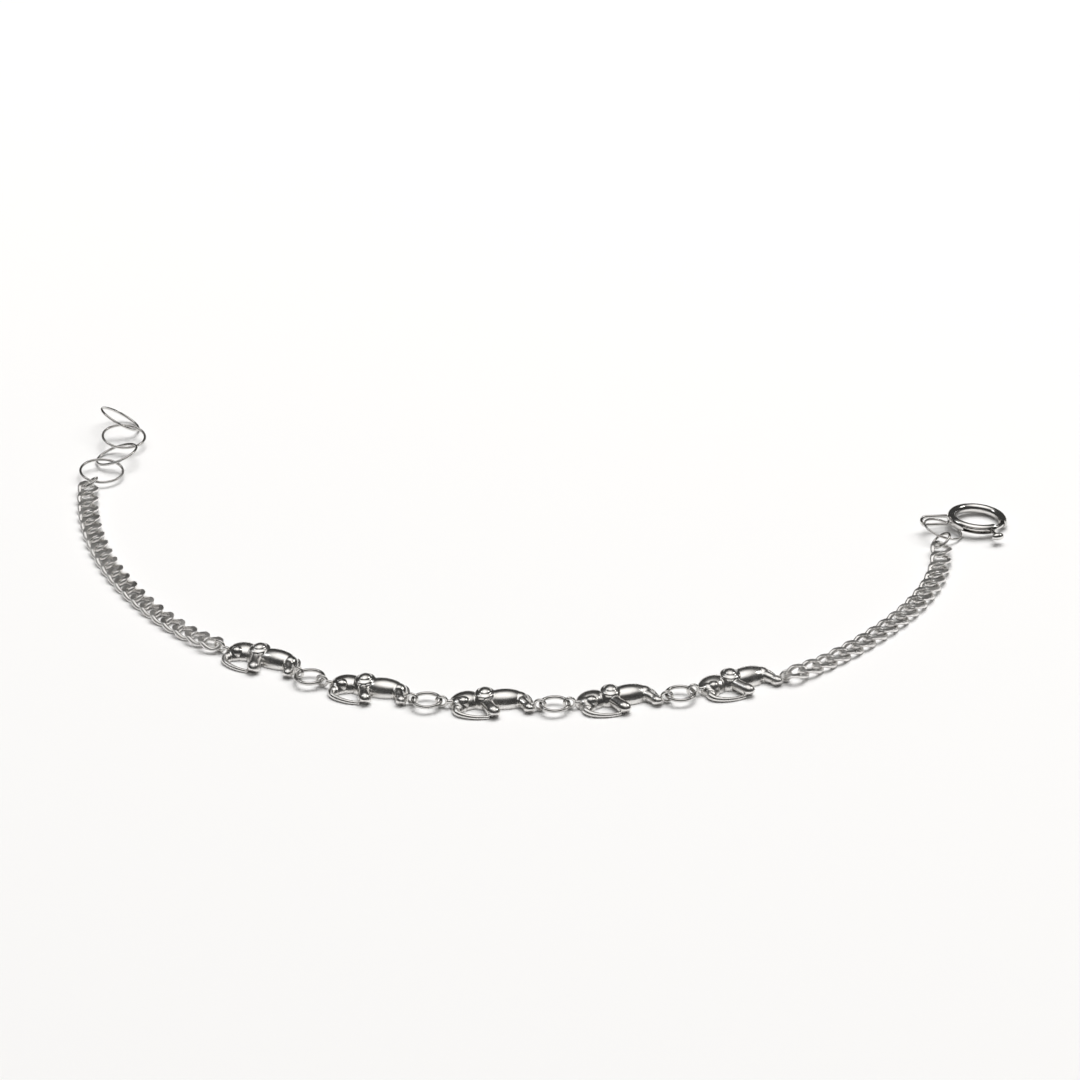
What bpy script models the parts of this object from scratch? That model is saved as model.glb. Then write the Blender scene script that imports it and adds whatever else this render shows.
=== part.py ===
# Charm anklet with five elephant charms, two curb chains, extension rings and a spring ring clasp.
# It lies open on the floor. Sizes are in millimetres and angles in degrees until the nodes are made.
import bpy
import bmesh
from math import asin, atan2, ceil, cos, degrees, pi, radians, sin
from mathutils import Matrix, Vector

for item in list(bpy.data.objects):
    bpy.data.objects.remove(item, do_unlink=True)

MM = 0.001

# Clearances and depths
SLACK = 0.10
RING_SLACK = 0.22
JOINING_SLACK = 0.18
LOOP_SLACK = 0.05
FUSE = 0.04
SINK = 0.25

# Elephant charm
CHARM_LENGTH = 8.0
CHARM_HEIGHT = 4.9
CHARM_RELIEF = 1.5
EYE_OUTER = 1.3
EYE_WIRE = 0.30

# Rings
CONNECTOR_OUTER = 3.0
CONNECTOR_WIRE = 0.35
EXTENSION_OUTER = 4.5
EXTENSION_WIRE = 0.27
JOINING_OUTER = 1.95
JOINING_WIRE = 0.27
END_OUTER = 2.25
END_WIRE = 0.27
JUMP_OUTER = 4.05
JUMP_WIRE = 0.24

# Curb chain
LINK_PITCH = 1.85
LINK_WIDTH = 2.02
LINK_WIRE = 0.30
LINK_TWIST = 0.235
LEFT_LINKS = 20
RIGHT_LINKS = 17

# Spring ring clasp
CLASP_OUTER = 6.0
CLASP_TUBE = 0.95
CLASP_BORE = 0.60
BOLT_GAP = 0.06
LOOP_LENGTH = 3.0
LOOP_WIDTH = 1.16
LOOP_WIRE = 0.34
KNOB_LENGTH = 1.25
KNOB_WIDTH = 0.78
KNOB_REACH = 4.25
KNOB_ROUNDNESS = 0.95
ARM_WIRE = 0.34
TRAVEL = 50.0
MOUTH_START = -18.0
MOUTH_END = -54.0
ARM_ANGLE = -65.0
SOCKET_DEPTH = 9.0
LIP_ENTRY = 6.0
BOLT_ARC = 58.0
BOLT_END_PLAY = 5.0
CUT_PAST = 4.0

# Headings of the strand in plan, from the left charm to the right one, charm and joint in turn
CHARM_HEADINGS = (-34.0, -22.0, -4.0, 7.5, 17.0)
JOINT_HEADINGS = (-38.0, -11.0, 10.0, 32.0)

# Route of each chain: share of its length from the charm outwards, heading in degrees
LEFT_ROUTE = ((0.0, 137.0), (0.25, 124.0), (0.50, 113.0), (0.75, 102.0), (1.0, 91.0))
RIGHT_ROUTE = ((0.0, 39.5), (0.25, 47.0), (0.50, 55.5), (0.75, 69.0), (1.0, 88.0))
EXTENSION_HEADINGS = (64.0, 76.0, 90.0, 112.0)
EXTENSION_ROLLS = (5.0, -20.0, 4.0, 32.0)
JOINING_HEADING = 72.0
JOINING_ROLL = -36.0
END_HEADING = 85.0
END_ROLL = -35.0
JUMP_ENTRY = -100.0
JUMP_HIGH_SIDE = 187.0
JUMP_RISE = 18.0
LOOP_SIDE = 160.0
LOOP_HEADING = 16.0
LOOP_ROLL = 75.0
CLASP_HIGH_SIDE = 214.0
CLASP_LEAN = 6.0

# Facets
LINK_STEPS = 12
LINK_SIDES = 5
RING_STEPS = 16
RING_SIDES = 6
EYE_STEPS = 10
TUBE_SIDES = 12
BORE_SIDES = 10
LUMP_STEPS = 12
LUMP_RINGS = 8
LIMB_SIDES = 8
STEM_SIDES = 7
ARM_SIDES = 8
LOOP_STEPS = 14
ARC_STEP = 9.0
SLOT_STEP = 7.0

# Charm shape: every table gives shares of the charm's length, height and relief.
# Columns of the lumps: name, centre along, centre up, centre out, half length, half height, half relief, turn
LUMPS = (
    ("barrel", 0.255, 0.545, 0.10, 0.285, 0.270, 0.80, -9.0),
    ("shoulder", 0.045, 0.610, 0.10, 0.185, 0.265, 0.82, 0.0),
    ("rump", 0.430, 0.460, 0.10, 0.130, 0.235, 0.72, 0.0),
    ("head", -0.185, 0.700, 0.10, 0.200, 0.265, 0.78, 8.0),
)
# Columns of the trunk: along, up, out, radius
TRUNK = (
    (-0.300, 0.640, 0.28, 0.48),
    (-0.355, 0.450, 0.28, 0.40),
    (-0.325, 0.290, 0.26, 0.30),
    (-0.245, 0.150, 0.22, 0.23),
    (-0.120, 0.045, 0.20, 0.19),
    (0.010, 0.012, 0.20, 0.17),
)
# Columns of the legs: name, top along, top up, foot along, out, top radius, foot radius
LEGS = (
    ("front_leg", 0.035, 0.560, 0.000, 0.34, 0.36, 0.37),
    ("hind_leg", 0.435, 0.450, 0.460, 0.30, 0.38, 0.35),
)
# Along the leg: share where it is thinnest, its thickness there, share just above the foot, thickness there
LEG_WAIST = (0.60, 0.88)
LEG_ANKLE = (0.90, 0.96)
# Columns of the ear: along, up, out, half length, half height, half relief, turn, lean
EAR = (0.010, 0.585, 0.74, 0.105, 0.215, 0.30, -24.0, 14.0)
HEAD_EYE = (-0.475, 0.675)
TAIL_EYE = (0.610, 0.075)
# The stem of an eye, as shares of its wire: half thickness, and how far it starts inside the ring
STEM = (0.62, 0.60)


def turn_z(angle):
    return Matrix.Rotation(radians(angle), 4, "Z")


def heading_vector(angle, rise=0.0):
    flat = cos(radians(rise))
    return Vector((flat * cos(radians(angle)), flat * sin(radians(angle)), sin(radians(rise))))


def mesh_body(name, points, faces):
    mesh = bpy.data.meshes.new(name)
    mesh.from_pydata([tuple(point) for point in points], [], faces)
    mesh.validate()
    body = bpy.data.objects.new(name, mesh)
    bpy.context.scene.collection.objects.link(body)
    return body


def ring_faces(rings, sides, closed):
    faces = []
    count = rings if closed else rings - 1
    for i in range(count):
        here = i * sides
        there = ((i + 1) % rings) * sides
        for j in range(sides):
            k = (j + 1) % sides
            faces.append((here + j, there + j, there + k, here + k))
    if not closed:
        faces.append(tuple(range(sides)))
        faces.append(tuple(reversed(range((rings - 1) * sides, rings * sides))))
    return faces


def swept(name, path, radii, sides, closed, normal=Vector((0, 0, 1)), phase=0.5):
    """A round wire along a path; the section is never twisted about it."""
    count = len(path)
    points = []
    for i, centre in enumerate(path):
        if closed:
            run = path[(i + 1) % count] - path[i - 1]
        else:
            run = path[min(i + 1, count - 1)] - path[max(i - 1, 0)]
        run = run.normalized()
        side = run.cross(normal).normalized()
        up = side.cross(run)
        for j in range(sides):
            angle = 2 * pi * (j + phase) / sides
            points.append(centre + radii[i] * (side * cos(angle) + up * sin(angle)))
    body = mesh_body(name, points, ring_faces(count, sides, closed))
    face_out(body)
    return body


def face_out(body):
    work = bmesh.new()
    work.from_mesh(body.data)
    bmesh.ops.recalc_face_normals(work, faces=work.faces)
    work.to_mesh(body.data)
    work.free()


def ring_body(name, outer, wire, steps, sides):
    mean = (outer - wire) / 2
    path = [Vector((mean * cos(2 * pi * i / steps), mean * sin(2 * pi * i / steps), 0)) for i in range(steps)]
    return swept(name, path, [wire / 2] * steps, sides, True)


def oval_body(name, length, width, wire, steps, sides, twist=0.0):
    half_length = (length - wire) / 2
    half_width = (width - wire) / 2
    path = []
    for i in range(steps):
        angle = 2 * pi * i / steps
        path.append(Vector((half_length * cos(angle), half_width * sin(angle), twist * sin(2 * angle))))
    return swept(name, path, [wire / 2] * steps, sides, True)


def racetrack_body(name, length, width, wire, steps, sides):
    bend = (width - wire) / 2
    straight = (length - width) / 2
    path = []
    for i in range(steps):
        angle = 2 * pi * i / steps
        end = straight if cos(angle) > 0 else -straight
        path.append(Vector((end + bend * cos(angle), bend * sin(angle), 0)))
    return swept(name, path, [wire / 2] * steps, sides, True)


def lump_body(name, centre, halves, turn, lean, steps, rings):
    points = [Vector((0, 0, 1))]
    for i in range(1, rings):
        tall = pi * i / rings
        for j in range(steps):
            around = 2 * pi * (j + 0.5) / steps
            points.append(Vector((sin(tall) * cos(around), sin(tall) * sin(around), cos(tall))))
    points.append(Vector((0, 0, -1)))
    faces = [(0, 1 + j, 1 + (j + 1) % steps) for j in range(steps)]
    for i in range(rings - 2):
        here = 1 + i * steps
        there = here + steps
        for j in range(steps):
            k = (j + 1) % steps
            faces.append((here + j, there + j, there + k, here + k))
    last = 1 + (rings - 2) * steps
    faces += [(len(points) - 1, last + (j + 1) % steps, last + j) for j in range(steps)]
    place = Matrix.Translation(centre) @ turn_z(turn) @ Matrix.Rotation(radians(lean), 4, "Y")
    body = mesh_body(name, [place @ Vector((p.x * halves[0], p.y * halves[1], p.z * halves[2])) for p in points],
                     faces)
    face_out(body)
    return body


def box_body(name, low, high):
    points = [Vector((x, y, z)) for x in (low[0], high[0]) for y in (low[1], high[1]) for z in (low[2], high[2])]
    faces = [(0, 1, 3, 2), (4, 6, 7, 5), (0, 4, 5, 1), (2, 3, 7, 6), (0, 2, 6, 4), (1, 5, 7, 3)]
    body = mesh_body(name, points, faces)
    face_out(body)
    return body


def combine(target, tool, operation):
    step = target.modifiers.new(operation.lower(), "BOOLEAN")
    step.operation = operation
    step.solver = "EXACT"
    step.object = tool
    bpy.context.view_layer.update()
    graph = bpy.context.evaluated_depsgraph_get()
    baked = bpy.data.meshes.new_from_object(target.evaluated_get(graph))
    target.modifiers.clear()
    old = target.data
    target.data = baked
    bpy.data.meshes.remove(old)
    bpy.data.objects.remove(tool, do_unlink=True)
    return target


def joined(name, bodies):
    points = []
    faces = []
    for body in bodies:
        start = len(points)
        points += [vertex.co.copy() for vertex in body.data.vertices]
        faces += [tuple(start + index for index in face.vertices) for face in body.data.polygons]
        bpy.data.objects.remove(body, do_unlink=True)
    return mesh_body(name, points, faces)


def moved(body, place):
    body.data.transform(place)
    return body


# One charm, with its flat back at zero and its front foot at the origin
def charm_body(name):
    along = CHARM_LENGTH
    up = CHARM_HEIGHT
    out = CHARM_RELIEF
    pieces = []
    for title, x, y, z, half_x, half_y, half_z, turn in LUMPS:
        centre = Vector((x * along, y * up, z * out))
        halves = (half_x * along, half_y * up, half_z * out)
        pieces.append(lump_body(title, centre, halves, turn, 0.0, LUMP_STEPS, LUMP_RINGS))
    for title, top_x, top_y, foot_x, z, top_r, foot_r in LEGS:
        top = Vector((top_x * along, top_y * up, z * out))
        foot = Vector((foot_x * along, 0.0, z * out))
        path = [top, top.lerp(foot, LEG_WAIST[0]), top.lerp(foot, LEG_ANKLE[0]), foot]
        waist = min(top_r, foot_r) * LEG_WAIST[1]
        radii = [top_r * out, waist * out, foot_r * LEG_ANKLE[1] * out, foot_r * out]
        pieces.append(swept(title, path, radii, LIMB_SIDES, False))
    path = [Vector((x * along, y * up, z * out)) for x, y, z, r in TRUNK]
    pieces.append(swept("trunk", path, [r * out for x, y, z, r in TRUNK], LIMB_SIDES, False))
    x, y, z, half_x, half_y, half_z, turn, lean = EAR
    centre = Vector((x * along, y * up, z * out))
    halves = (half_x * along, half_y * up, half_z * out)
    pieces.append(lump_body("ear", centre, halves, turn, lean, LUMP_STEPS, LUMP_RINGS))
    for point, inward in ((HEAD_EYE, 1.0), (TAIL_EYE, -1.0)):
        pieces.append(eye_body(point, inward))
    body = pieces[0]
    for piece in pieces[1:]:
        body = combine(body, piece, "UNION")
    under = box_body("under", (-along, -up, -out * 3), (along * 2, up * 2, 0.0))
    body = combine(body, under, "DIFFERENCE")
    body.name = name
    return body


def eye_centre(share):
    return Vector((share[0] * CHARM_LENGTH, share[1] * CHARM_HEIGHT, EYE_OUTER / 2))


def charm_turn():
    run = eye_centre(TAIL_EYE) - eye_centre(HEAD_EYE)
    return degrees(atan2(run.y, run.x))


def charm_span():
    return (eye_centre(TAIL_EYE) - eye_centre(HEAD_EYE)).length + EYE_OUTER - EYE_WIRE


def eye_body(share, inward):
    eye = ring_body("eye", EYE_OUTER, EYE_WIRE, EYE_STEPS, RING_SIDES)
    moved(eye, turn_z(charm_turn()) @ Matrix.Rotation(radians(90), 4, "X"))
    run = heading_vector(charm_turn()) * inward
    start = run * (EYE_OUTER / 2 - EYE_WIRE * STEM[1])
    stem = swept("stem", [start, start + run * (EYE_WIRE + SINK)], [EYE_WIRE * STEM[0]] * 2, STEM_SIDES, False)
    eye = combine(eye, stem, "UNION")
    return moved(eye, Matrix.Translation(eye_centre(share)))


# A curb chain: links in turn go to two sets that do not touch inside a set, then the sets are fused
def chain_body(name, places):
    sets = ([], [])
    for i, place in enumerate(places):
        link = oval_body("link", LINK_PITCH + 2 * LINK_WIRE - FUSE, LINK_WIDTH, LINK_WIRE, LINK_STEPS, LINK_SIDES,
                         LINK_TWIST)
        sets[i % 2].append(moved(link, place))
    body = combine(joined("even", sets[0]), joined("odd", sets[1]), "UNION")
    body.name = name
    return body


def clasp_arc(start, end, radius, sides, name):
    mean = (CLASP_OUTER - CLASP_TUBE) / 2
    steps = max(2, ceil(abs(end - start) / ARC_STEP) + 1)
    angles = [radians(start + (end - start) * i / (steps - 1)) for i in range(steps)]
    path = [Vector((mean * cos(a), mean * sin(a), 0)) for a in angles]
    return swept(name, path, [radius] * steps, sides, False)


def clasp_body(name):
    mean = (CLASP_OUTER - CLASP_TUBE) / 2
    body = clasp_arc(MOUTH_START, MOUTH_END + 360, CLASP_TUBE / 2, TUBE_SIDES, name)
    loop = racetrack_body("loop", LOOP_LENGTH + SINK, LOOP_WIDTH, LOOP_WIRE, LOOP_STEPS, RING_SIDES)
    reach = -(CLASP_OUTER / 2 + (LOOP_LENGTH - SINK) / 2)
    moved(loop, turn_z(LOOP_HEADING) @ Matrix.Translation((reach, 0, 0)) @
          Matrix.Rotation(radians(LOOP_ROLL), 4, "X"))
    body = combine(body, loop, "UNION")
    far = ARM_ANGLE - TRAVEL
    tail = bolt_tail() - TRAVEL
    bore = clasp_arc(MOUTH_END + CUT_PAST, tail - BOLT_END_PLAY, CLASP_BORE / 2, BORE_SIDES, "bore")
    body = combine(body, bore, "DIFFERENCE")
    socket = clasp_arc(MOUTH_START - CUT_PAST, MOUTH_START + SOCKET_DEPTH, CLASP_BORE / 2, BORE_SIDES, "socket")
    body = combine(body, socket, "DIFFERENCE")
    play = degrees((ARM_WIRE / 2 + SLACK) / mean)
    body = combine(body, slot_body(ARM_ANGLE + play, far - play, mean), "DIFFERENCE")
    body.name = name
    return body


def slot_body(start, end, mean):
    half = ARM_WIRE / 2 + SLACK
    steps = ceil(abs(end - start) / SLOT_STEP) + 1
    points = []
    for i in range(steps):
        angle = radians(start + (end - start) * i / (steps - 1))
        for radius, high in ((mean, -half), (mean + CLASP_TUBE, -half), (mean + CLASP_TUBE, half), (mean, half)):
            points.append(Vector((radius * cos(angle), radius * sin(angle), high)))
    body = mesh_body("slot", points, ring_faces(steps, 4, False))
    face_out(body)
    return body


def bolt_tail():
    return ARM_ANGLE - BOLT_ARC


def trigger_body(name):
    radius = CLASP_BORE / 2 - BOLT_GAP
    body = clasp_arc(MOUTH_START + LIP_ENTRY, bolt_tail(), radius, BORE_SIDES, name)
    mean = (CLASP_OUTER - CLASP_TUBE) / 2
    out = heading_vector(ARM_ANGLE)
    arm = swept("arm", [out * mean, out * KNOB_REACH], [ARM_WIRE / 2] * 2, ARM_SIDES, False)
    body = combine(body, arm, "UNION")
    halves = (KNOB_WIDTH / 2, KNOB_LENGTH / 2, KNOB_WIDTH / 2 * KNOB_ROUNDNESS)
    knob = lump_body("knob", out * KNOB_REACH, halves, ARM_ANGLE, 0.0, LUMP_STEPS, LUMP_RINGS)
    body = combine(body, knob, "UNION")
    body.name = name
    return body


# Places along the strand. A piece starts at an end point on the strand's middle line; the next one
# starts back by the two half wires and the slack, so that each wire passes through its neighbour.
def hook(wire, next_wire):
    return (wire + next_wire) / 2 + SLACK


def frame_at(point, heading, rise=0.0, roll=0.0):
    return (Matrix.Translation(point) @ turn_z(heading) @ Matrix.Rotation(radians(-rise), 4, "Y") @
            Matrix.Rotation(radians(roll), 4, "X"))


def route_heading(route, share):
    for (low, first), (high, last) in zip(route, route[1:]):
        if share <= high:
            return first + (last - first) * (share - low) / (high - low)
    return route[-1][1]


def lift(outer, wire, roll):
    return (outer - wire) / 2 * abs(sin(radians(roll))) + wire / 2


eye_height = EYE_OUTER / 2
link_height = LINK_TWIST + LINK_WIRE / 2
places = {}

# The middle charm is at the origin; the joints go out from it to both sides
charm_ends = {}
joint_span = CONNECTOR_OUTER - CONNECTOR_WIRE
middle = len(CHARM_HEADINGS) // 2
start = -heading_vector(CHARM_HEADINGS[middle]) * charm_span() / 2 + Vector((0, 0, eye_height))
charm_ends[middle] = (start, start + heading_vector(CHARM_HEADINGS[middle]) * charm_span())
joint_hook = hook(EYE_WIRE, CONNECTOR_WIRE)
for i in range(middle, len(CHARM_HEADINGS) - 1):
    near = charm_ends[i][1] - heading_vector(JOINT_HEADINGS[i]) * joint_hook
    far = near + heading_vector(JOINT_HEADINGS[i]) * joint_span
    places["connector_ring_%d" % (i + 1)] = frame_at((near + far) / 2, JOINT_HEADINGS[i])
    head = far - heading_vector(CHARM_HEADINGS[i + 1]) * joint_hook
    charm_ends[i + 1] = (head, head + heading_vector(CHARM_HEADINGS[i + 1]) * charm_span())
for i in range(middle, 0, -1):
    near = charm_ends[i][0] + heading_vector(JOINT_HEADINGS[i - 1]) * joint_hook
    far = near - heading_vector(JOINT_HEADINGS[i - 1]) * joint_span
    places["connector_ring_%d" % i] = frame_at((near + far) / 2, JOINT_HEADINGS[i - 1])
    tail = far + heading_vector(CHARM_HEADINGS[i - 1]) * joint_hook
    charm_ends[i - 1] = (tail - heading_vector(CHARM_HEADINGS[i - 1]) * charm_span(), tail)
for i, heading in enumerate(CHARM_HEADINGS):
    head = charm_ends[i][0] + heading_vector(heading) * (EYE_OUTER - EYE_WIRE) / 2
    local = eye_centre(HEAD_EYE)
    place = Matrix.Translation(head) @ turn_z(heading - charm_turn()) @ Matrix.Translation(-local)
    places["elephant_%d" % (i + 1)] = place


def chain_places(start, route, links, end_height):
    point = start
    result = []
    length = LINK_PITCH + LINK_WIRE - FUSE
    for i in range(links):
        heading = route_heading(route, i / (links - 1))
        run = heading_vector(heading)
        step = hook(LINK_WIRE, EYE_WIRE) if i == 0 else LINK_WIRE - FUSE
        point = point - run * step
        near_charm = eye_height - (eye_height - link_height) * i / 2
        near_end = end_height - (end_height - link_height) * (links - 1 - i) / 2
        point.z = max(link_height, near_charm, near_end)
        result.append(frame_at(point + run * length / 2, heading))
        point = point + run * length
    return result, point


left_links, left_end = chain_places(charm_ends[0][0].copy(), LEFT_ROUTE, LEFT_LINKS,
                                    lift(JOINING_OUTER, JOINING_WIRE, JOINING_ROLL))
right_links, right_end = chain_places(charm_ends[middle * 2][1].copy(), RIGHT_ROUTE, RIGHT_LINKS,
                                      lift(END_OUTER, END_WIRE, END_ROLL))


def ring_after(point, wire, outer, own_wire, heading, roll, far_height, more=0.0):
    """Hooks a ring on the wire at a point and gives its place and its far end."""
    near = point - heading_vector(heading) * (hook(wire, own_wire) + more)
    span = outer - own_wire
    rise = degrees(asin((far_height - near.z) / span))
    far = near + heading_vector(heading, rise) * span
    return frame_at((near + far) / 2, heading, rise, roll), far


# Each joint of the extension is as high as the more tilted of its two rings needs
lifts = [lift(EXTENSION_OUTER, EXTENSION_WIRE, roll) for roll in EXTENSION_ROLLS]
places["joining_link"], point = ring_after(left_end, LINK_WIRE, JOINING_OUTER, JOINING_WIRE, JOINING_HEADING,
                                           JOINING_ROLL, lift(JOINING_OUTER, JOINING_WIRE, JOINING_ROLL),
                                           JOINING_SLACK)
wire = JOINING_WIRE
more = 0.0
for i, heading in enumerate(EXTENSION_HEADINGS):
    height = max(lifts[i:i + 2])
    places["extension_ring_%d" % (i + 1)], point = ring_after(point, wire, EXTENSION_OUTER, EXTENSION_WIRE,
                                                              heading, EXTENSION_ROLLS[i], height, more)
    wire = EXTENSION_WIRE
    more = RING_SLACK

# The jump ring leans up to the tail loop; the end ring enters it on one side and the loop on another
jump_mean = (JUMP_OUTER - JUMP_WIRE) / 2
jump_lean = turn_z(JUMP_HIGH_SIDE) @ Matrix.Rotation(radians(-JUMP_RISE), 4, "Y")
jump_height = jump_mean * sin(radians(JUMP_RISE)) + JUMP_WIRE / 2
entry = jump_lean @ (heading_vector(JUMP_ENTRY - JUMP_HIGH_SIDE) * jump_mean)
places["end_ring"], point = ring_after(right_end, LINK_WIRE, END_OUTER, END_WIRE, END_HEADING, END_ROLL,
                                       jump_height + entry.z)
jump_centre = point - heading_vector(JUMP_ENTRY + 180) * hook(END_WIRE, JUMP_WIRE) - entry
places["jump_ring"] = Matrix.Translation(jump_centre) @ jump_lean

# The clasp lies with its tail raised on the jump ring, whose far side runs under its tube
loop_point = jump_centre + jump_lean @ (heading_vector(LOOP_SIDE - JUMP_HIGH_SIDE) * jump_mean)
loop_run = heading_vector(LOOP_HEADING)
loop_end = loop_point - loop_run * (hook(JUMP_WIRE, LOOP_WIRE) + LOOP_SLACK)
clasp_centre = loop_end + loop_run * (CLASP_OUTER / 2 + LOOP_LENGTH - LOOP_WIRE / 2)
clasp_centre.z = (CLASP_OUTER - CLASP_TUBE) / 2 * sin(radians(CLASP_LEAN)) + CLASP_TUBE / 2
clasp_lean = Matrix.Rotation(radians(CLASP_LEAN), 4, heading_vector(CLASP_HIGH_SIDE - 90))
places["clasp_ring"] = Matrix.Translation(clasp_centre) @ clasp_lean
places["clasp_trigger"] = places["clasp_ring"]

# Materials
def metal(name, colour, roughness):
    material = bpy.data.materials.new(name)
    material.use_nodes = True
    shader = material.node_tree.nodes["Principled BSDF"]
    shader.inputs["Base Color"].default_value = (colour[0], colour[1], colour[2], 1.0)
    shader.inputs["Metallic"].default_value = 1.0
    shader.inputs["Roughness"].default_value = roughness
    return material


# Bodies
nodes = [charm_body("elephant_1")]
for i in range(1, len(CHARM_HEADINGS)):
    body = bpy.data.objects.new("elephant_%d" % (i + 1), nodes[0].data.copy())
    bpy.context.scene.collection.objects.link(body)
    nodes.append(body)
for name in sorted(places):
    if name.startswith("connector_ring"):
        nodes.append(ring_body(name, CONNECTOR_OUTER, CONNECTOR_WIRE, RING_STEPS, RING_SIDES))
    elif name.startswith("extension_ring"):
        nodes.append(ring_body(name, EXTENSION_OUTER, EXTENSION_WIRE, RING_STEPS, RING_SIDES))
nodes.append(ring_body("joining_link", JOINING_OUTER, JOINING_WIRE, LINK_STEPS, RING_SIDES))
nodes.append(ring_body("end_ring", END_OUTER, END_WIRE, LINK_STEPS, RING_SIDES))
nodes.append(ring_body("jump_ring", JUMP_OUTER, JUMP_WIRE, RING_STEPS, RING_SIDES))
nodes.append(clasp_body("clasp_ring"))
nodes.append(trigger_body("clasp_trigger"))
for body in nodes:
    moved(body, places[body.name])
nodes.append(chain_body("curb_chain_left", left_links))
nodes.append(chain_body("curb_chain_right", right_links))

# The origin goes to the middle of the box in plan, at the floor
corners = [vertex.co for body in nodes for vertex in body.data.vertices]
low_corner = Vector([min(point[axis] for point in corners) for axis in range(3)])
high_corner = Vector([max(point[axis] for point in corners) for axis in range(3)])
shift = Vector((-(low_corner.x + high_corner.x) / 2, -(low_corner.y + high_corner.y) / 2, -low_corner.z))
finish = Matrix.Scale(MM, 4) @ Matrix.Translation(shift)
for body in nodes:
    moved(body, finish)
    body.data.materials.clear()
    body.data.materials.append(metal(body.name + "_silver", (0.80, 0.79, 0.77), 0.12))
    for face in body.data.polygons:
        face.material_index = 0
        face.use_smooth = True
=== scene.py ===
from math import asin, atan2, ceil, cos, degrees, pi, radians, sin, tan

import bmesh
import bpy
from mathutils import Matrix, Vector


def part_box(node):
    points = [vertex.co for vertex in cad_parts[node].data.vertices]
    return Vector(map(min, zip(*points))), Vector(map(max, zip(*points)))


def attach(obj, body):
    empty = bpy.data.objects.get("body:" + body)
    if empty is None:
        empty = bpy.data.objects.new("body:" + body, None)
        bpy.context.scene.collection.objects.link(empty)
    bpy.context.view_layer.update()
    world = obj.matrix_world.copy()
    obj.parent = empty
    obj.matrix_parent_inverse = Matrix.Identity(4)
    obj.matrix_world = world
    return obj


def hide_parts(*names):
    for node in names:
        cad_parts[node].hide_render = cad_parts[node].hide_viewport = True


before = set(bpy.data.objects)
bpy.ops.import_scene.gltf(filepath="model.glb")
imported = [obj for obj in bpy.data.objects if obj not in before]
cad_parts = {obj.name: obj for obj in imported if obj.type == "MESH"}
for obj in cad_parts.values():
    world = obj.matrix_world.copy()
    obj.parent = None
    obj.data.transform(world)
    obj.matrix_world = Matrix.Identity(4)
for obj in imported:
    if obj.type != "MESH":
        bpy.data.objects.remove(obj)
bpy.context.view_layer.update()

MM = 0.001

# Clearances and depths
SLACK = 0.10
RING_SLACK = 0.22
JOINING_SLACK = 0.18
LOOP_SLACK = 0.05
FUSE = 0.04
SINK = 0.25

# Elephant charm
CHARM_LENGTH = 8.0
CHARM_HEIGHT = 4.9
CHARM_RELIEF = 1.5
EYE_OUTER = 1.3
EYE_WIRE = 0.30

# Rings
CONNECTOR_OUTER = 3.0
CONNECTOR_WIRE = 0.35
EXTENSION_OUTER = 4.5
EXTENSION_WIRE = 0.27
JOINING_OUTER = 1.95
JOINING_WIRE = 0.27
END_OUTER = 2.25
END_WIRE = 0.27
JUMP_OUTER = 4.05
JUMP_WIRE = 0.24

# Curb chain. The link values set the places along the strand, the curb values the visible links
LINK_PITCH = 1.85
LINK_WIRE = 0.30
LINK_TWIST = 0.235
CURB_WIRE = 0.46
CURB_WIDTH = 2.16
CURB_TWIST = 0.26
CURB_FLAT = 0.31
LEFT_LINKS = 20
RIGHT_LINKS = 17

# Spring ring clasp
CLASP_OUTER = 6.0
CLASP_TUBE = 0.95
CLASP_BORE = 0.60
BOLT_GAP = 0.06
LOOP_LENGTH = 3.0
LOOP_WIDTH = 1.16
LOOP_WIRE = 0.34
KNOB_LENGTH = 1.25
KNOB_WIDTH = 0.78
KNOB_REACH = 4.25
KNOB_ROUNDNESS = 0.95
ARM_WIRE = 0.34
TRAVEL = 50.0
MOUTH_START = -18.0
MOUTH_END = -54.0
ARM_ANGLE = -65.0
SOCKET_DEPTH = 9.0
LIP_ENTRY = 6.0
BOLT_ARC = 58.0
BOLT_END_PLAY = 5.0
CUT_PAST = 4.0

# Headings of the strand in plan, from the left charm to the right one, charm and joint in turn
CHARM_HEADINGS = (-34.0, -22.0, -4.0, 7.5, 17.0)
JOINT_HEADINGS = (-38.0, -11.0, 10.0, 32.0)

# Route of each chain: share of its length from the charm outwards, heading in degrees
LEFT_ROUTE = ((0.0, 137.0), (0.25, 124.0), (0.50, 113.0), (0.75, 102.0), (1.0, 91.0))
RIGHT_ROUTE = ((0.0, 39.5), (0.25, 47.0), (0.50, 55.5), (0.75, 69.0), (1.0, 88.0))
EXTENSION_HEADINGS = (64.0, 76.0, 90.0, 112.0)
EXTENSION_ROLLS = (5.0, -20.0, 4.0, 32.0)
JOINING_HEADING = 72.0
JOINING_ROLL = -36.0
END_HEADING = 85.0
END_ROLL = -35.0
JUMP_ENTRY = -100.0
JUMP_HIGH_SIDE = 187.0
JUMP_RISE = 18.0
LOOP_SIDE = 160.0
LOOP_HEADING = 16.0
LOOP_ROLL = 75.0
CLASP_HIGH_SIDE = 214.0
CLASP_LEAN = 6.0

# Smoothness of the visual pieces
LINK_STEPS = 56
LINK_SIDES = 14
RING_STEPS = 112
RING_SIDES = 20
EYE_STEPS = 56
EYE_SIDES = 14
TUBE_SIDES = 40
BORE_SIDES = 32
LUMP_STEPS = 56
LUMP_RINGS = 32
LIMB_SIDES = 32
LIMB_STEPS = 28
LOOP_STEPS = 56
ARC_STEP = 2.5
SLOT_STEP = 3.0
VOXEL = 0.045
SMOOTHING = 9
SHARP_ANGLE = 40.0

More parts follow.
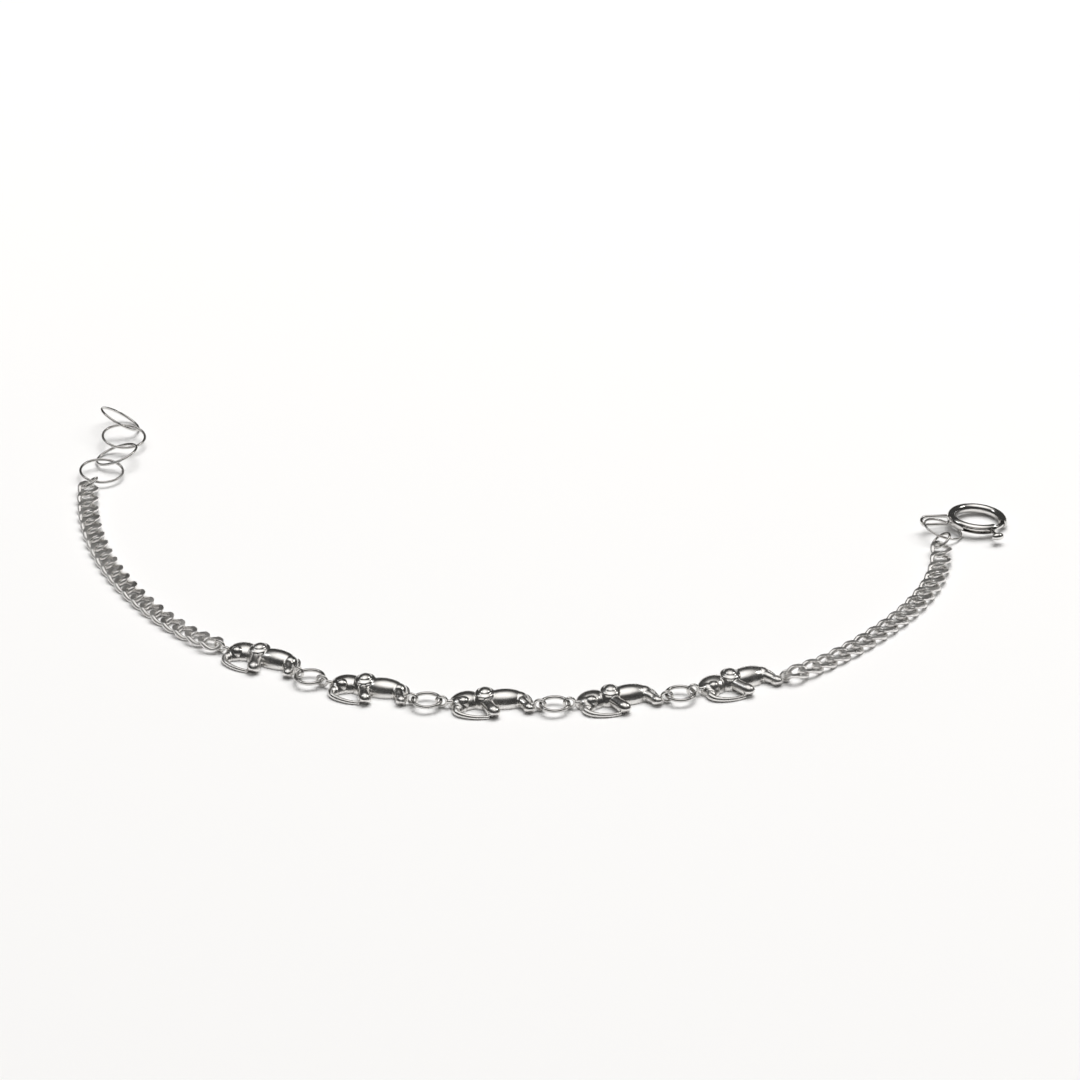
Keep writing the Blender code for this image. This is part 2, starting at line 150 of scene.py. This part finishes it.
# Charm shape: every table gives shares of the charm's length, height and relief.
# Columns of the lumps: name, centre along, centre up, centre out, half length, half height, half relief, turn
LUMPS = (
    ("barrel", 0.255, 0.545, 0.10, 0.285, 0.265, 0.80, -9.0),
    ("shoulder", 0.045, 0.610, 0.10, 0.185, 0.260, 0.80, 0.0),
    ("rump", 0.435, 0.460, 0.10, 0.110, 0.210, 0.64, 0.0),
    ("head", -0.175, 0.700, 0.10, 0.210, 0.265, 0.66, 6.0),
    ("brow", -0.275, 0.600, 0.10, 0.110, 0.215, 0.56, 20.0),
    ("cheek", -0.235, 0.545, 0.36, 0.080, 0.120, 0.42, 0.0),
    ("mouth", -0.315, 0.440, 0.10, 0.062, 0.120, 0.36, 0.0),
    ("ear_rim", 0.035, 0.615, 0.74, 0.118, 0.225, 0.22, -24.0),
    ("ear_dome", 0.035, 0.610, 0.84, 0.080, 0.150, 0.26, -24.0),
)
# Columns of a limb's points: along, up, out, radius as a share of the relief
LIMBS = {
    "trunk": (
        (-0.330, 0.480, 0.20, 0.26),
        (-0.350, 0.370, 0.18, 0.23),
        (-0.325, 0.250, 0.15, 0.19),
        (-0.240, 0.140, 0.12, 0.16),
        (-0.130, 0.065, 0.10, 0.14),
        (0.000, 0.030, 0.09, 0.12),
    ),
    "front_leg": (
        (0.010, 0.560, 0.34, 0.40),
        (0.030, 0.360, 0.34, 0.38),
        (0.048, 0.180, 0.34, 0.40),
        (0.058, 0.085, 0.32, 0.42),
        (0.062, 0.030, 0.27, 0.37),
        (0.062, 0.000, 0.19, 0.24),
    ),
    "hind_leg": (
        (0.430, 0.480, 0.30, 0.38),
        (0.440, 0.320, 0.30, 0.36),
        (0.468, 0.180, 0.28, 0.32),
        (0.480, 0.085, 0.26, 0.34),
        (0.485, 0.030, 0.22, 0.30),
        (0.485, 0.000, 0.16, 0.18),
    ),
    "tail": (
        (0.500, 0.620, 0.26, 0.13),
        (0.540, 0.520, 0.26, 0.11),
        (0.556, 0.380, 0.22, 0.10),
        (0.545, 0.240, 0.18, 0.11),
    ),
}
HEAD_EYE = (-0.475, 0.675)
TAIL_EYE = (0.610, 0.075)
# The stem of an eye, as shares of its wire: half thickness, and how far it starts inside the ring
STEM = (0.62, 0.60)

# Camera: the photograph's angle, field of view and distance; the view's centre is on the floor
ELEVATION = 28.0
FIELD_OF_VIEW = 10.0
PIXELS = 1080.0
PIXELS_PER_MM = 10.22
VIEW_CENTRE = (0.0, 4.9)
SENSOR_MM = 36.0
CLIP_START = 0.01
CLIP_END = 100.0

# Silver: noise sizes per metre, their range and effect, and the tint's darkest share of the paleness
CLOUD_SCALE = 420.0
CLOUD_DETAIL = 5.0
CLOUD_RANGE = (0.3, 0.7)
DULL_RANGE = (0.7, 1.4)
WARM_DARK = (0.88, 0.865, 0.84)
WARM_PALE = (1.0, 0.985, 0.965)
RIPPLE_SCALE = 1500.0
RIPPLE_DETAIL = 3.0
RIPPLE_HEIGHT = 0.00004

# Floor, in metres
FLOOR_HALF = 3.0
FLOOR_GAP = 0.00001
PAPER = (0.90, 0.90, 0.90)
PAPER_ROUGHNESS = 0.9

# Light: where the glow is, how wide, and how bright it and the dim surroundings are
GLOW_COLOUR = (1.0, 0.985, 0.965)
GLOW_AZIMUTH = 82.0
GLOW_ELEVATION = 83.0
GLOW_CORE = 5.0
GLOW_EDGE = 40.0
GLOW = 1.45
DIM = 0.05
# Columns of the lamps: name, azimuth, elevation, distance, width and height in metres, power, colour
LAMPS = (
    ("paper_softbox", 68.0, 62.0, 1.6, 1.3, 1.2, 22.0, (1.0, 0.99, 0.98)),
    ("right_softbox", 25.0, 42.0, 1.5, 0.35, 0.3, 2.2, (1.0, 0.985, 0.96)),
    ("left_softbox", 160.0, 50.0, 1.5, 0.3, 0.4, 1.2, (0.98, 0.99, 1.0)),
)


def turn_z(angle):
    return Matrix.Rotation(radians(angle), 4, "Z")


def heading_vector(angle, rise=0.0):
    flat = cos(radians(rise))
    return Vector((flat * cos(radians(angle)), flat * sin(radians(angle)), sin(radians(rise))))


def mesh_body(name, points, faces):
    mesh = bpy.data.meshes.new(name)
    mesh.from_pydata([tuple(point) for point in points], [], faces)
    mesh.validate()
    body = bpy.data.objects.new(name, mesh)
    bpy.context.scene.collection.objects.link(body)
    face_out(body)
    return body


def face_out(body):
    work = bmesh.new()
    work.from_mesh(body.data)
    bmesh.ops.recalc_face_normals(work, faces=work.faces)
    work.to_mesh(body.data)
    work.free()


def ring_faces(rings, sides, closed):
    faces = []
    count = rings if closed else rings - 1
    for i in range(count):
        here = i * sides
        there = ((i + 1) % rings) * sides
        for j in range(sides):
            k = (j + 1) % sides
            faces.append((here + j, there + j, there + k, here + k))
    if not closed:
        faces.append(tuple(range(sides)))
        faces.append(tuple(reversed(range((rings - 1) * sides, rings * sides))))
    return faces


def swept(name, path, radii, sides, closed, normal=Vector((0, 0, 1))):
    """A round wire along a path; the section is never twisted about it."""
    count = len(path)
    points = []
    for i, centre in enumerate(path):
        if closed:
            run = path[(i + 1) % count] - path[i - 1]
        else:
            run = path[min(i + 1, count - 1)] - path[max(i - 1, 0)]
        run = run.normalized()
        side = run.cross(normal).normalized()
        up = side.cross(run)
        for j in range(sides):
            angle = 2 * pi * (j + 0.5) / sides
            points.append(centre + radii[i] * (side * cos(angle) + up * sin(angle)))
    return mesh_body(name, points, ring_faces(count, sides, closed))


def ring_body(name, outer, wire, steps, sides):
    mean = (outer - wire) / 2
    path = [Vector((mean * cos(2 * pi * i / steps), mean * sin(2 * pi * i / steps), 0)) for i in range(steps)]
    return swept(name, path, [wire / 2] * steps, sides, True)


def link_body(name):
    """A curb link: a twisted oval of thick wire with its upper and lower sides cut flat."""
    half_length = (LINK_PITCH - FUSE + CURB_WIRE) / 2
    half_width = (CURB_WIDTH - CURB_WIRE) / 2
    path = []
    for i in range(LINK_STEPS):
        angle = 2 * pi * i / LINK_STEPS
        path.append(Vector((half_length * cos(angle), half_width * sin(angle), CURB_TWIST * sin(2 * angle))))
    link = swept(name, path, [CURB_WIRE / 2] * LINK_STEPS, LINK_SIDES, True)
    for vertex in link.data.vertices:
        vertex.co.z = max(-CURB_FLAT, min(CURB_FLAT, vertex.co.z))
    return link


def racetrack_body(name, length, width, wire, steps, sides):
    bend = (width - wire) / 2
    straight = (length - width) / 2
    path = []
    for i in range(steps):
        angle = 2 * pi * (i + 0.5) / steps
        end = straight if cos(angle) > 0 else -straight
        path.append(Vector((end + bend * cos(angle), bend * sin(angle), 0)))
    return swept(name, path, [wire / 2] * steps, sides, True)


def lump_body(name, centre, halves, turn):
    points = [Vector((0, 0, 1))]
    for i in range(1, LUMP_RINGS):
        tall = pi * i / LUMP_RINGS
        for j in range(LUMP_STEPS):
            around = 2 * pi * j / LUMP_STEPS
            points.append(Vector((sin(tall) * cos(around), sin(tall) * sin(around), cos(tall))))
    points.append(Vector((0, 0, -1)))
    faces = [(0, 1 + j, 1 + (j + 1) % LUMP_STEPS) for j in range(LUMP_STEPS)]
    for i in range(LUMP_RINGS - 2):
        here = 1 + i * LUMP_STEPS
        there = here + LUMP_STEPS
        for j in range(LUMP_STEPS):
            k = (j + 1) % LUMP_STEPS
            faces.append((here + j, there + j, there + k, here + k))
    last = 1 + (LUMP_RINGS - 2) * LUMP_STEPS
    faces += [(len(points) - 1, last + (j + 1) % LUMP_STEPS, last + j) for j in range(LUMP_STEPS)]
    place = Matrix.Translation(centre) @ turn_z(turn)
    return mesh_body(name, [place @ Vector([a * b for a, b in zip(p, halves)]) for p in points], faces)


def moved(body, place):
    body.data.transform(place)
    return body


def baked(body):
    """Applies the body's modifiers to its mesh."""
    bpy.context.view_layer.update()
    graph = bpy.context.evaluated_depsgraph_get()
    mesh = bpy.data.meshes.new_from_object(body.evaluated_get(graph))
    body.modifiers.clear()
    old = body.data
    body.data = mesh
    bpy.data.meshes.remove(old)
    return body


def combine(target, tool, operation):
    step = target.modifiers.new(operation.lower(), "BOOLEAN")
    step.operation = operation
    step.solver = "EXACT"
    step.object = tool
    baked(target)
    bpy.data.objects.remove(tool, do_unlink=True)
    return target


def joined(name, bodies):
    points = []
    faces = []
    for body in bodies:
        start = len(points)
        points += [vertex.co.copy() for vertex in body.data.vertices]
        faces += [tuple(start + index for index in face.vertices) for face in body.data.polygons]
        bpy.data.objects.remove(body, do_unlink=True)
    mesh = bpy.data.meshes.new(name)
    mesh.from_pydata([tuple(point) for point in points], [], faces)
    body = bpy.data.objects.new(name, mesh)
    bpy.context.scene.collection.objects.link(body)
    return body


def smooth_path(points, steps):
    """A smooth curve through table points of any number of columns."""
    count = len(points)
    result = []
    for i in range(steps):
        share = i / (steps - 1) * (count - 1)
        k = min(int(share), count - 2)
        t = share - k
        before = points[max(k - 1, 0)]
        after = points[min(k + 2, count - 1)]
        row = []
        for a, b, c, d in zip(before, points[k], points[k + 1], after):
            row.append(b + t * (c - a) / 2 + t * t * (a - 2.5 * b + 2 * c - d / 2)
                       + t * t * t * (1.5 * b - a / 2 - 1.5 * c + d / 2))
        result.append(row)
    return result


def charm_body(name):
    """One charm, with its flat back at zero and its front foot at the origin."""
    along = CHARM_LENGTH
    up = CHARM_HEIGHT
    out = CHARM_RELIEF
    pieces = []
    for title, x, y, z, half_x, half_y, half_z, turn in LUMPS:
        centre = Vector((x * along, y * up, z * out))
        pieces.append(lump_body(title, centre, (half_x * along, half_y * up, half_z * out), turn))
    for title, table in LIMBS.items():
        rows = smooth_path(table, LIMB_STEPS)
        path = [Vector((x * along, y * up, z * out)) for x, y, z, r in rows]
        pieces.append(swept(title, path, [r * out for x, y, z, r in rows], LIMB_SIDES, False))
    body = joined(name, pieces)
    remesh = body.modifiers.new("cast", "REMESH")
    remesh.mode = "VOXEL"
    remesh.voxel_size = VOXEL
    smooth = body.modifiers.new("soften", "SMOOTH")
    smooth.iterations = SMOOTHING
    baked(body)
    for vertex in body.data.vertices:
        vertex.co.z = max(vertex.co.z, 0.0)
    eyes = [eye_body(point, inward) for point, inward in ((HEAD_EYE, 1.0), (TAIL_EYE, -1.0))]
    return joined(name, [body] + eyes)


def eye_centre(share):
    return Vector((share[0] * CHARM_LENGTH, share[1] * CHARM_HEIGHT, EYE_OUTER / 2))


def charm_turn():
    run = eye_centre(TAIL_EYE) - eye_centre(HEAD_EYE)
    return degrees(atan2(run.y, run.x))


def charm_span():
    return (eye_centre(TAIL_EYE) - eye_centre(HEAD_EYE)).length + EYE_OUTER - EYE_WIRE


def eye_body(share, inward):
    eye = ring_body("eye", EYE_OUTER, EYE_WIRE, EYE_STEPS, EYE_SIDES)
    moved(eye, turn_z(charm_turn()) @ Matrix.Rotation(radians(90), 4, "X"))
    run = heading_vector(charm_turn()) * inward
    start = run * (EYE_OUTER / 2 - EYE_WIRE * STEM[1])
    stem = swept("stem", [start, start + run * (EYE_WIRE + SINK)], [EYE_WIRE * STEM[0]] * 2, EYE_SIDES, False)
    return moved(joined("eye", [eye, stem]), Matrix.Translation(eye_centre(share)))


def clasp_arc(start, end, radius, sides, name):
    mean = (CLASP_OUTER - CLASP_TUBE) / 2
    steps = max(2, ceil(abs(end - start) / ARC_STEP) + 1)
    angles = [radians(start + (end - start) * i / (steps - 1)) for i in range(steps)]
    path = [Vector((mean * cos(a), mean * sin(a), 0)) for a in angles]
    return swept(name, path, [radius] * steps, sides, False)


def clasp_body(name):
    mean = (CLASP_OUTER - CLASP_TUBE) / 2
    body = clasp_arc(MOUTH_START, MOUTH_END + 360, CLASP_TUBE / 2, TUBE_SIDES, name)
    loop = racetrack_body("loop", LOOP_LENGTH + SINK, LOOP_WIDTH, LOOP_WIRE, LOOP_STEPS, RING_SIDES)
    reach = -(CLASP_OUTER / 2 + (LOOP_LENGTH - SINK) / 2)
    moved(loop, turn_z(LOOP_HEADING) @ Matrix.Translation((reach, 0, 0)) @
          Matrix.Rotation(radians(LOOP_ROLL), 4, "X"))
    body = combine(body, loop, "UNION")
    far = ARM_ANGLE - TRAVEL
    tail = bolt_tail() - TRAVEL
    bore = clasp_arc(MOUTH_END + CUT_PAST, tail - BOLT_END_PLAY, CLASP_BORE / 2, BORE_SIDES, "bore")
    body = combine(body, bore, "DIFFERENCE")
    socket = clasp_arc(MOUTH_START - CUT_PAST, MOUTH_START + SOCKET_DEPTH, CLASP_BORE / 2, BORE_SIDES,
                       "socket")
    body = combine(body, socket, "DIFFERENCE")
    play = degrees((ARM_WIRE / 2 + SLACK) / mean)
    return combine(body, slot_body(ARM_ANGLE + play, far - play, mean), "DIFFERENCE")


def slot_body(start, end, mean):
    half = ARM_WIRE / 2 + SLACK
    steps = ceil(abs(end - start) / SLOT_STEP) + 1
    points = []
    for i in range(steps):
        angle = radians(start + (end - start) * i / (steps - 1))
        corners = ((mean, -half), (mean + CLASP_TUBE, -half), (mean + CLASP_TUBE, half), (mean, half))
        for radius, high in corners:
            points.append(Vector((radius * cos(angle), radius * sin(angle), high)))
    return mesh_body("slot", points, ring_faces(steps, 4, False))


def bolt_tail():
    return ARM_ANGLE - BOLT_ARC


def trigger_body(name):
    radius = CLASP_BORE / 2 - BOLT_GAP
    body = clasp_arc(MOUTH_START + LIP_ENTRY, bolt_tail(), radius, BORE_SIDES, name)
    mean = (CLASP_OUTER - CLASP_TUBE) / 2
    out = heading_vector(ARM_ANGLE)
    arm = swept("arm", [out * mean, out * KNOB_REACH], [ARM_WIRE / 2] * 2, BORE_SIDES, False)
    body = combine(body, arm, "UNION")
    halves = (KNOB_WIDTH / 2, KNOB_LENGTH / 2, KNOB_WIDTH / 2 * KNOB_ROUNDNESS)
    return combine(body, lump_body("knob", out * KNOB_REACH, halves, ARM_ANGLE), "UNION")


# Places along the strand. A piece starts at an end point on the strand's middle line; the next one
# starts back by the two half wires and the slack, so that each wire passes through its neighbour.
def hook(wire, next_wire):
    return (wire + next_wire) / 2 + SLACK


def frame_at(point, heading, rise=0.0, roll=0.0):
    return (Matrix.Translation(point) @ turn_z(heading) @ Matrix.Rotation(radians(-rise), 4, "Y") @
            Matrix.Rotation(radians(roll), 4, "X"))


def route_heading(route, share):
    for (low, first), (high, last) in zip(route, route[1:]):
        if share <= high:
            return first + (last - first) * (share - low) / (high - low)
    return route[-1][1]


def lift(outer, wire, roll):
    return (outer - wire) / 2 * abs(sin(radians(roll))) + wire / 2


eye_height = EYE_OUTER / 2
link_height = LINK_TWIST + LINK_WIRE / 2
places = {}

# The middle charm is at the origin; the joints go out from it to both sides
charm_ends = {}
joint_span = CONNECTOR_OUTER - CONNECTOR_WIRE
middle = len(CHARM_HEADINGS) // 2
start = -heading_vector(CHARM_HEADINGS[middle]) * charm_span() / 2 + Vector((0, 0, eye_height))
charm_ends[middle] = (start, start + heading_vector(CHARM_HEADINGS[middle]) * charm_span())
joint_hook = hook(EYE_WIRE, CONNECTOR_WIRE)
for i in range(middle, len(CHARM_HEADINGS) - 1):
    near = charm_ends[i][1] - heading_vector(JOINT_HEADINGS[i]) * joint_hook
    far = near + heading_vector(JOINT_HEADINGS[i]) * joint_span
    places["connector_ring_%d" % (i + 1)] = frame_at((near + far) / 2, JOINT_HEADINGS[i])
    head = far - heading_vector(CHARM_HEADINGS[i + 1]) * joint_hook
    charm_ends[i + 1] = (head, head + heading_vector(CHARM_HEADINGS[i + 1]) * charm_span())
for i in range(middle, 0, -1):
    near = charm_ends[i][0] + heading_vector(JOINT_HEADINGS[i - 1]) * joint_hook
    far = near - heading_vector(JOINT_HEADINGS[i - 1]) * joint_span
    places["connector_ring_%d" % i] = frame_at((near + far) / 2, JOINT_HEADINGS[i - 1])
    tail = far + heading_vector(CHARM_HEADINGS[i - 1]) * joint_hook
    charm_ends[i - 1] = (tail - heading_vector(CHARM_HEADINGS[i - 1]) * charm_span(), tail)
for i, heading in enumerate(CHARM_HEADINGS):
    head = charm_ends[i][0] + heading_vector(heading) * (EYE_OUTER - EYE_WIRE) / 2
    places["elephant_%d" % (i + 1)] = (Matrix.Translation(head) @ turn_z(heading - charm_turn()) @
                                       Matrix.Translation(-eye_centre(HEAD_EYE)))


def chain_places(start, route, links, end_height):
    point = start
    result = []
    length = LINK_PITCH + LINK_WIRE - FUSE
    for i in range(links):
        heading = route_heading(route, i / (links - 1))
        run = heading_vector(heading)
        step = hook(LINK_WIRE, EYE_WIRE) if i == 0 else LINK_WIRE - FUSE
        point = point - run * step
        near_charm = eye_height - (eye_height - link_height) * i / 2
        near_end = end_height - (end_height - link_height) * (links - 1 - i) / 2
        point.z = max(link_height, near_charm, near_end)
        result.append(frame_at(point + run * length / 2, heading))
        point = point + run * length
    return result, point


left_links, left_end = chain_places(charm_ends[0][0].copy(), LEFT_ROUTE, LEFT_LINKS,
                                    lift(JOINING_OUTER, JOINING_WIRE, JOINING_ROLL))
right_links, right_end = chain_places(charm_ends[middle * 2][1].copy(), RIGHT_ROUTE, RIGHT_LINKS,
                                      lift(END_OUTER, END_WIRE, END_ROLL))


def ring_after(point, wire, outer, own_wire, heading, roll, far_height, more=0.0):
    """Hooks a ring on the wire at a point and gives its place and its far end."""
    near = point - heading_vector(heading) * (hook(wire, own_wire) + more)
    span = outer - own_wire
    rise = degrees(asin((far_height - near.z) / span))
    far = near + heading_vector(heading, rise) * span
    return frame_at((near + far) / 2, heading, rise, roll), far


# Each joint of the extension is as high as the more tilted of its two rings needs
lifts = [lift(EXTENSION_OUTER, EXTENSION_WIRE, roll) for roll in EXTENSION_ROLLS]
places["joining_link"], point = ring_after(left_end, LINK_WIRE, JOINING_OUTER, JOINING_WIRE, JOINING_HEADING,
                                           JOINING_ROLL, lift(JOINING_OUTER, JOINING_WIRE, JOINING_ROLL),
                                           JOINING_SLACK)
wire = JOINING_WIRE
more = 0.0
for i, heading in enumerate(EXTENSION_HEADINGS):
    height = max(lifts[i:i + 2])
    places["extension_ring_%d" % (i + 1)], point = ring_after(point, wire, EXTENSION_OUTER, EXTENSION_WIRE,
                                                              heading, EXTENSION_ROLLS[i], height, more)
    wire = EXTENSION_WIRE
    more = RING_SLACK

# The jump ring leans up to the tail loop; the end ring enters it on one side and the loop on another
jump_mean = (JUMP_OUTER - JUMP_WIRE) / 2
jump_lean = turn_z(JUMP_HIGH_SIDE) @ Matrix.Rotation(radians(-JUMP_RISE), 4, "Y")
jump_height = jump_mean * sin(radians(JUMP_RISE)) + JUMP_WIRE / 2
entry = jump_lean @ (heading_vector(JUMP_ENTRY - JUMP_HIGH_SIDE) * jump_mean)
places["end_ring"], point = ring_after(right_end, LINK_WIRE, END_OUTER, END_WIRE, END_HEADING, END_ROLL,
                                       jump_height + entry.z)
jump_centre = point - heading_vector(JUMP_ENTRY + 180) * hook(END_WIRE, JUMP_WIRE) - entry
places["jump_ring"] = Matrix.Translation(jump_centre) @ jump_lean

# The clasp lies with its tail raised on the jump ring, whose far side runs under its tube
loop_point = jump_centre + jump_lean @ (heading_vector(LOOP_SIDE - JUMP_HIGH_SIDE) * jump_mean)
loop_run = heading_vector(LOOP_HEADING)
loop_end = loop_point - loop_run * (hook(JUMP_WIRE, LOOP_WIRE) + LOOP_SLACK)
clasp_centre = loop_end + loop_run * (CLASP_OUTER / 2 + LOOP_LENGTH - LOOP_WIRE / 2)
clasp_centre.z = (CLASP_OUTER - CLASP_TUBE) / 2 * sin(radians(CLASP_LEAN)) + CLASP_TUBE / 2
clasp_lean = Matrix.Rotation(radians(CLASP_LEAN), 4, heading_vector(CLASP_HIGH_SIDE - 90))
places["clasp_ring"] = Matrix.Translation(clasp_centre) @ clasp_lean
places["clasp_trigger"] = places["clasp_ring"]

# The frame's own origin is found from the flat connector ring's node
low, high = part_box("connector_ring_1")
walk_centre = places["connector_ring_1"].to_translation()
origin_shift = (low + high) / 2 - walk_centre * MM
to_frame = Matrix.Translation(origin_shift) @ Matrix.Scale(MM, 4)


def named_value(shader, name, value):
    shader.inputs[name].default_value = value


def opaque(colour, share=1.0):
    return tuple(part * share for part in colour) + (1.0,)


def mix_socket(sockets, identifier):
    return next(item for item in sockets if item.identifier == identifier)


def silver(name, dull, wear, painted_brightness):
    """Polished silver: a warm metal with cloudy polish marks and a faint ripple. Its paleness is painted per
    copy, to stand in for how bright or dark that piece looks under the light.
    """
    material = bpy.data.materials.new(name)
    material.use_nodes = True
    tree = material.node_tree
    shader = tree.nodes["Principled BSDF"]
    named_value(shader, "Metallic", 1.0)
    place = tree.nodes.new("ShaderNodeTexCoord")
    clouds = tree.nodes.new("ShaderNodeTexNoise")
    named_value(clouds, "Scale", CLOUD_SCALE)
    named_value(clouds, "Detail", CLOUD_DETAIL)
    tree.links.new(place.outputs["Object"], clouds.inputs["Vector"])
    polish = tree.nodes.new("ShaderNodeMapRange")
    named_value(polish, "From Min", CLOUD_RANGE[0])
    named_value(polish, "From Max", CLOUD_RANGE[1])
    named_value(polish, "To Min", dull * DULL_RANGE[0])
    named_value(polish, "To Max", dull * DULL_RANGE[1])
    tree.links.new(clouds.outputs["Fac"], polish.inputs["Value"])
    tree.links.new(polish.outputs["Result"], shader.inputs["Roughness"])
    tint = tree.nodes.new("ShaderNodeMix")
    tint.data_type = "RGBA"
    # Both tints are scaled by the copy's paleness, which paints that piece's shade or light into its colour
    mix_socket(tint.inputs, "A_Color").default_value = opaque(WARM_DARK, painted_brightness)
    mix_socket(tint.inputs, "B_Color").default_value = opaque(WARM_PALE, painted_brightness)
    tree.links.new(clouds.outputs["Fac"], mix_socket(tint.inputs, "Factor_Float"))
    tree.links.new(mix_socket(tint.outputs, "Result_Color"), shader.inputs["Base Color"])
    ripple = tree.nodes.new("ShaderNodeTexNoise")
    named_value(ripple, "Scale", RIPPLE_SCALE)
    named_value(ripple, "Detail", RIPPLE_DETAIL)
    tree.links.new(place.outputs["Object"], ripple.inputs["Vector"])
    bump = tree.nodes.new("ShaderNodeBump")
    named_value(bump, "Strength", wear)
    named_value(bump, "Distance", RIPPLE_HEIGHT)
    tree.links.new(ripple.outputs["Fac"], bump.inputs["Height"])
    tree.links.new(bump.outputs["Normal"], shader.inputs["Normal"])
    return material


# The last number is each copy's paleness: painted shade makes the rings darker, and painted light makes the
# chain paler, than the cast charms and the clasp
cast_silver = silver("cast_silver", 0.25, 0.35, 0.86)
ring_silver = silver("ring_silver", 0.22, 0.20, 0.70)
chain_silver = silver("chain_silver", 0.36, 0.30, 0.92)
clasp_silver = silver("clasp_silver", 0.15, 0.15, 0.84)


def finish_piece(body, place, material, node, rider="anklet"):
    moved(body, to_frame @ place)
    body.data.materials.clear()
    body.data.materials.append(material)
    for face in body.data.polygons:
        face.material_index = 0
        face.use_smooth = True
    body.data.set_sharp_from_angle(angle=radians(SHARP_ANGLE))
    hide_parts(node)
    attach(body, rider)


# Pieces. Each stands for the CAD node of the same name
charm = charm_body("elephant_form")
for i in range(len(CHARM_HEADINGS)):
    node = "elephant_%d" % (i + 1)
    piece = bpy.data.objects.new("cast_" + node, charm.data.copy())
    bpy.context.scene.collection.objects.link(piece)
    finish_piece(piece, places[node], cast_silver, node)
bpy.data.objects.remove(charm, do_unlink=True)

ring_sizes = {"joining_link": (JOINING_OUTER, JOINING_WIRE), "end_ring": (END_OUTER, END_WIRE),
              "jump_ring": (JUMP_OUTER, JUMP_WIRE)}
for i in range(len(JOINT_HEADINGS)):
    ring_sizes["connector_ring_%d" % (i + 1)] = (CONNECTOR_OUTER, CONNECTOR_WIRE)
for i in range(len(EXTENSION_HEADINGS)):
    ring_sizes["extension_ring_%d" % (i + 1)] = (EXTENSION_OUTER, EXTENSION_WIRE)
for node, (outer, wire) in ring_sizes.items():
    ring = ring_body("smooth_" + node, outer, wire, RING_STEPS, RING_SIDES)
    finish_piece(ring, places[node], ring_silver, node)

for node, link_places in (("curb_chain_left", left_links), ("curb_chain_right", right_links)):
    links = [moved(link_body("link"), place) for place in link_places]
    finish_piece(joined("links_" + node, links), Matrix.Identity(4), chain_silver, node)

finish_piece(clasp_body("smooth_clasp_ring"), places["clasp_ring"], clasp_silver, "clasp_ring")
finish_piece(trigger_body("smooth_clasp_trigger"), places["clasp_trigger"], clasp_silver, "clasp_trigger",
             "trigger")

# Floor: wide, white and matte
floor = mesh_body("floor", [(-FLOOR_HALF, -FLOOR_HALF, -FLOOR_GAP), (FLOOR_HALF, -FLOOR_HALF, -FLOOR_GAP),
                            (FLOOR_HALF, FLOOR_HALF, -FLOOR_GAP), (-FLOOR_HALF, FLOOR_HALF, -FLOOR_GAP)],
                  [(0, 1, 2, 3)])
paper = bpy.data.materials.new("white_paper")
paper.use_nodes = True
paper_shader = paper.node_tree.nodes["Principled BSDF"]
named_value(paper_shader, "Base Color", opaque(PAPER))
named_value(paper_shader, "Roughness", PAPER_ROUGHNESS)
named_value(paper_shader, "Specular IOR Level", 0.0)
floor.data.materials.append(paper)


# Light: a soft glow above in dim surroundings, two small lamps for sparkle, and a large lamp, hidden from
# reflections, that lights the paper and casts the shadows
def softbox(name, azimuth, elevation, distance, width, height, power, colour):
    data = bpy.data.lights.new(name, "AREA")
    data.shape = "RECTANGLE"
    data.size = width
    data.size_y = height
    data.energy = power
    data.color = colour
    lamp = bpy.data.objects.new(name, data)
    bpy.context.scene.collection.objects.link(lamp)
    away = heading_vector(azimuth, elevation)
    lamp.location = away * distance
    lamp.rotation_mode = "QUATERNION"
    lamp.rotation_quaternion = away.to_track_quat("Z", "Y")
    return lamp


lamps = [softbox(*row) for row in LAMPS]
lamps[0].visible_glossy = False
world = bpy.data.worlds.new("glow")
bpy.context.scene.world = world
world.use_nodes = True
sky = world.node_tree
background = sky.nodes["Background"]
named_value(background, "Color", opaque(GLOW_COLOUR))
direction = sky.nodes.new("ShaderNodeTexCoord")
toward_glow = sky.nodes.new("ShaderNodeVectorMath")
toward_glow.operation = "DOT_PRODUCT"
toward_glow.inputs[1].default_value = heading_vector(GLOW_AZIMUTH, GLOW_ELEVATION)
sky.links.new(direction.outputs["Generated"], toward_glow.inputs[0])
glow = sky.nodes.new("ShaderNodeMapRange")
glow.interpolation_type = "SMOOTHSTEP"
named_value(glow, "From Min", cos(radians(GLOW_EDGE)))
named_value(glow, "From Max", cos(radians(GLOW_CORE)))
named_value(glow, "To Min", DIM)
named_value(glow, "To Max", GLOW)
sky.links.new(toward_glow.outputs["Value"], glow.inputs["Value"])
sky.links.new(glow.outputs["Result"], background.inputs["Strength"])
bpy.context.scene.view_settings.view_transform = "Standard"

# Camera
half_angle = radians(FIELD_OF_VIEW / 2)
distance = PIXELS / 2 / tan(half_angle) / PIXELS_PER_MM * MM
target = Vector((VIEW_CENTRE[0] * MM, VIEW_CENTRE[1] * MM, 0.0))
camera_data = bpy.data.cameras.new("camera")
camera_data.sensor_width = SENSOR_MM
camera_data.lens = SENSOR_MM / 2 / tan(half_angle)
camera_data.clip_start = distance * CLIP_START
camera_data.clip_end = distance * CLIP_END
camera = bpy.data.objects.new("camera", camera_data)
bpy.context.scene.collection.objects.link(camera)
toward_camera = heading_vector(-90.0, ELEVATION)
camera.location = target + toward_camera * distance
camera.rotation_mode = "QUATERNION"
camera.rotation_quaternion = toward_camera.to_track_quat("Z", "Y")
bpy.context.scene.camera = camera
